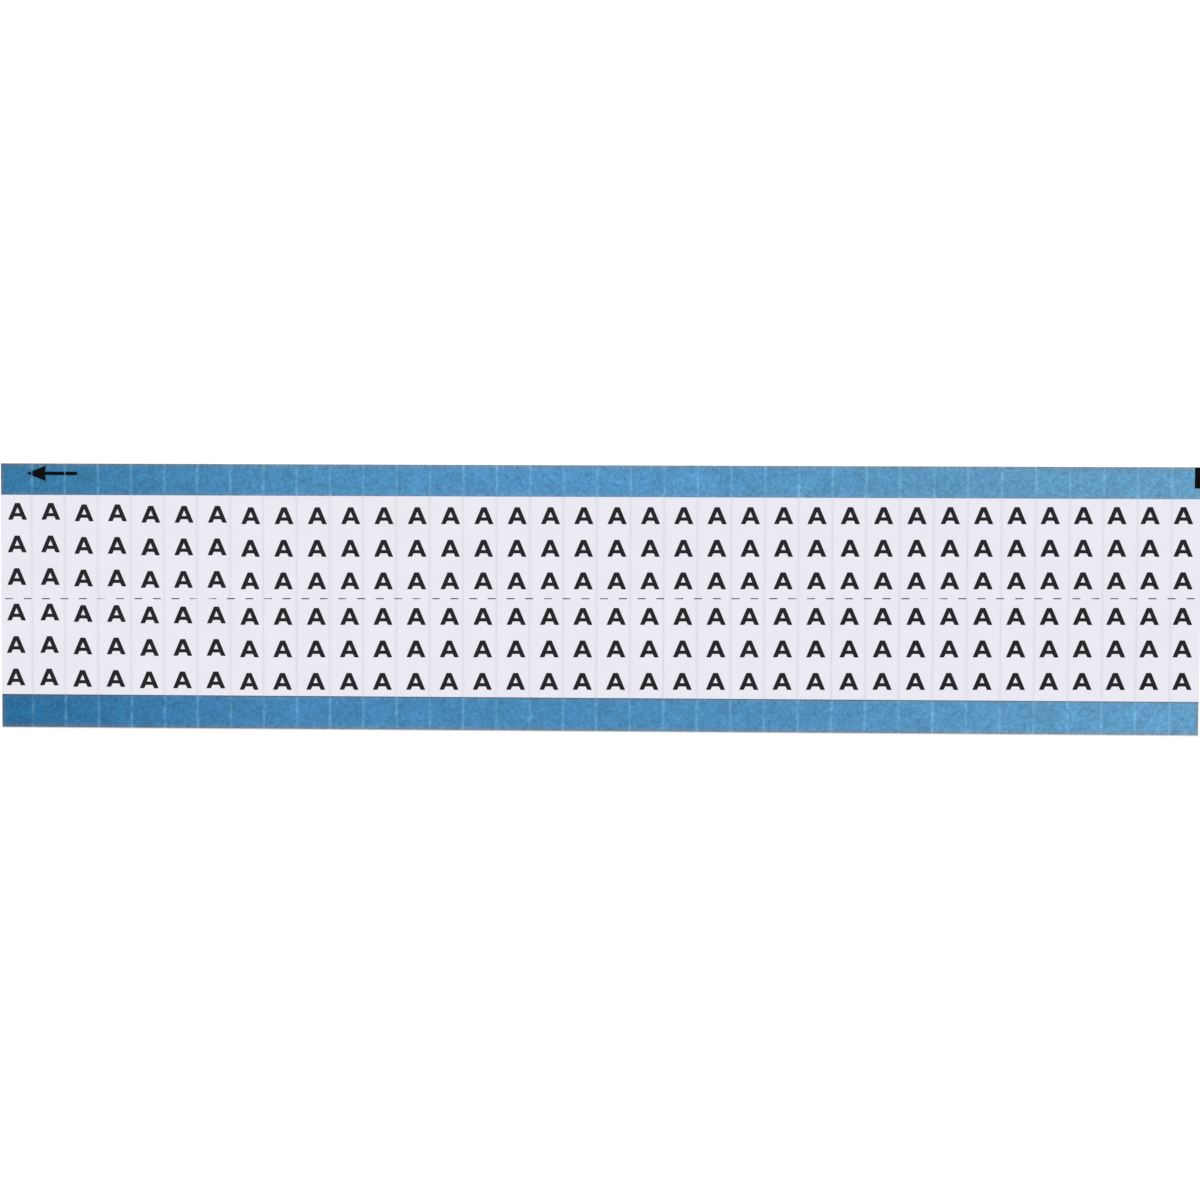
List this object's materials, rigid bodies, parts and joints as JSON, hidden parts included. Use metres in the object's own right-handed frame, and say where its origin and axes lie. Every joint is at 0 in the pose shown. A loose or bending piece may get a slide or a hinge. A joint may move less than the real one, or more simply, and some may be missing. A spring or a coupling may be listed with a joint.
{
  "type": "wire marker card",
  "caption": "Flat card of self-adhesive cloth wire markers, kiss cut side by side on a coated blue card and perforated across the middle.",
  "frame": {"origin": "centre of the card's outline, on its back face", "axes": "+X along the row of markers to the right, +Y up the markers, +Z out of the printed face"},
  "size_m": [0.2274, 0.0504, 0.0005],
  "materials": {
    "card": "satin",
    "marker_cloth": "matte",
    "ink": "satin"
  },
  "bodies": {
    "root": {"backing_card": "card", "marker_01": "marker_cloth", "marker_02": "marker_cloth", "marker_03": "marker_cloth", "marker_04": "marker_cloth", "marker_05": "marker_cloth", "marker_06": "marker_cloth", "marker_07": "marker_cloth", "marker_08": "marker_cloth", "marker_09": "marker_cloth", "marker_10": "marker_cloth", "marker_11": "marker_cloth", "marker_12": "marker_cloth", "marker_13": "marker_cloth", "marker_14": "marker_cloth", "marker_15": "marker_cloth", "marker_16": "marker_cloth", "marker_17": "marker_cloth", "marker_18": "marker_cloth", "marker_19": "marker_cloth", "marker_20": "marker_cloth", "marker_21": "marker_cloth", "marker_22": "marker_cloth", "marker_23": "marker_cloth", "marker_24": "marker_cloth", "marker_25": "marker_cloth", "marker_26": "marker_cloth", "marker_27": "marker_cloth", "marker_28": "marker_cloth", "marker_29": "marker_cloth", "marker_30": "marker_cloth", "marker_31": "marker_cloth", "marker_32": "marker_cloth", "marker_33": "marker_cloth", "marker_34": "marker_cloth", "marker_35": "marker_cloth", "marker_36": "marker_cloth"}
  },
  "joints": []
}
